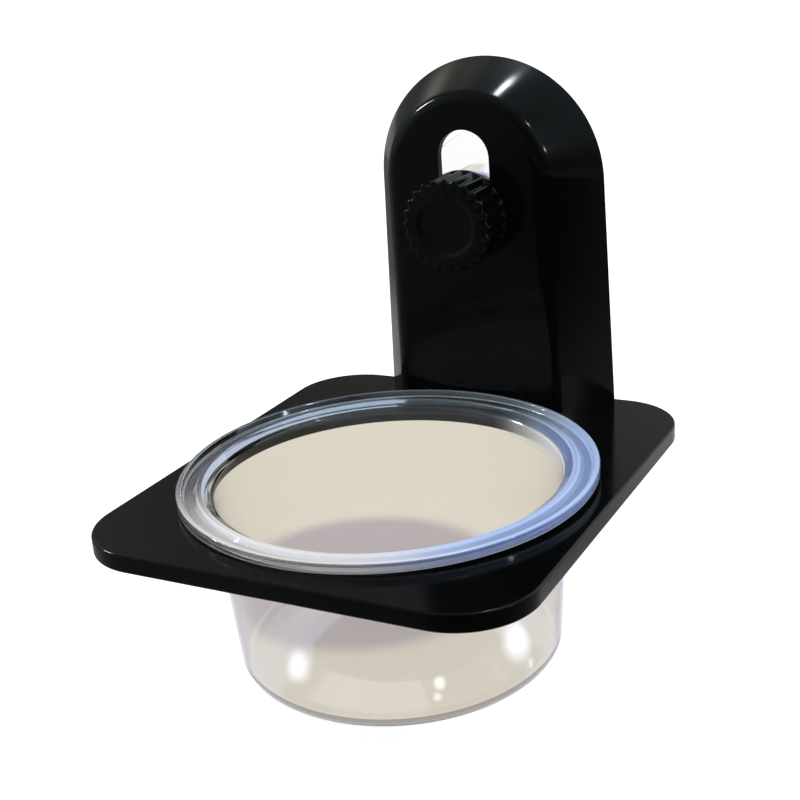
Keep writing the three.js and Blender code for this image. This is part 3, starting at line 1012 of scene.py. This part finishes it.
def soft_disc(tree, place, centre, outer, inner):
    """From 0 at the outer radius about a centre on the floor to 1 at the inner one."""
    away = vector_maths(tree, "DISTANCE", place, (*centre, 0)).outputs["Value"]
    return mapped(tree, away, outer, inner)


def by_ray(tree, camera, through, mirrored, other):
    """Picks a colour by what a ray is: seen by the camera, through plastic, in a reflection, or
    another."""
    light = tree.nodes.new("ShaderNodeLightPath").outputs
    found = mixed(tree, light["Is Glossy Ray"], other, mirrored)
    found = mixed(tree, light["Is Transmission Ray"], found, through)
    return mixed(tree, light["Is Camera Ray"], found, camera)


def make_floor():
    low = min(corner[2] for corner in cup.bound_box)
    steps = 96
    points = [(x, y, 0) for x, y in circle(FLOOR_RADIUS / MM, steps)]
    floor = mesh_object("floor", points, [tuple(range(steps))])
    floor.location.z = low
    material, tree, shader = new_material("floor_white")
    shader.inputs["Roughness"].default_value = 0.9
    shader.inputs["Specular IOR Level"].default_value = 0
    grey, black = (FLOOR_COLOUR,) * 3, (0, 0, 0)
    tree.links.new(by_ray(tree, grey, black, black, grey), shader.inputs["Base Color"])
    place = tree.nodes.new("ShaderNodeTexCoord").outputs["Object"]
    tone = (FLOOR_MIRRORED,) * 3
    for *disc, colour in MIRRORED_DISCS:
        tone = mixed(tree, soft_disc(tree, place, *disc), tone, colour)
    board = mixed(tree, soft_disc(tree, place, *SHADE_DISC), BOARD, BOARD_SHADE)
    through = mixed(tree, soft_disc(tree, place, *BOARD_DISC), (1, 1, 1), board)
    bounces = tree.nodes.new("ShaderNodeLightPath").outputs["Glossy Depth"]
    in_mirror = maths(tree, "MULTIPLY", maths(tree, "MINIMUM", bounces, 1), 1 - BOARD_IN_MIRROR)
    through = mixed(tree, maths(tree, "SUBTRACT", 1, in_mirror), black, through)
    shade = by_ray(tree, (FLOOR_GLOW,) * 3, through, tone, black)
    tree.links.new(shade, shader.inputs["Emission Color"])
    shader.inputs["Emission Strength"].default_value = 1
    floor.data.materials.append(material)


def make_world():
    world = bpy.data.worlds.new("studio")
    world.use_nodes = True
    tree = world.node_tree
    place = tree.nodes.new("ShaderNodeTexCoord").outputs["Generated"]
    room = ROOM_BASE
    for azimuth, elevation, level, narrow, tint in ROOM_GLOWS:
        facing = maths(tree, "MAXIMUM", along(tree, place, room_direction(azimuth, elevation)), 0)
        glow = vector_maths(tree, "SCALE", tint * level)
        tree.links.new(maths(tree, "POWER", facing, narrow), glow.inputs["Scale"])
        room = vector_maths(tree, "ADD", glow.outputs[0], room).outputs[0]
    white = (1, 1, 1)
    high = mapped(tree, along(tree, place, (0, 0, 1)), *ROOM_THROUGH_BY)
    through = mixed(tree, high, white, ROOM_THROUGH)
    colour = by_ray(tree, white, through, room, (ROOM_PLAIN,) * 3)
    tree.links.new(colour, tree.nodes["Background"].inputs["Color"])
    bpy.context.scene.world = world


LAMP_DISTANCE = 0.7


def area_lamp(name, direction, aim, size, radiance):
    """A small lamp towards a direction of the room, aimed at a point in millimetres."""
    data = bpy.data.lights.new(name, "AREA")
    data.shape = "RECTANGLE"
    data.size, data.size_y = size
    data.energy = radiance * math.pi * size[0] * size[1]
    lamp = bpy.data.objects.new(name, data)
    towards = room_direction(*direction)
    place = Vector(aim) * MM + towards * LAMP_DISTANCE
    turned = towards.to_track_quat("Z", "Y").to_matrix().to_4x4()
    lamp.matrix_world = Matrix.Translation(place) @ turned
    bpy.context.scene.collection.objects.link(lamp)


make_floor()
make_world()
for lamp in (
    ("key", (171, 71.7), (5, -5, 78), (0.05, 0.05), 100),
    ("lamp_right_high", (79, 46.5), (20, -8, 70), (0.03, 0.03), 120),
    ("lamp_right_low", (86, 19), (20, -8, 70), (0.03, 0.03), 120),
    ("lamp_left", (-82, 33), (-20, -8, 65), (0.03, 0.12), 150),
):
    area_lamp(*lamp)

bpy.context.scene.view_settings.view_transform = "Standard"
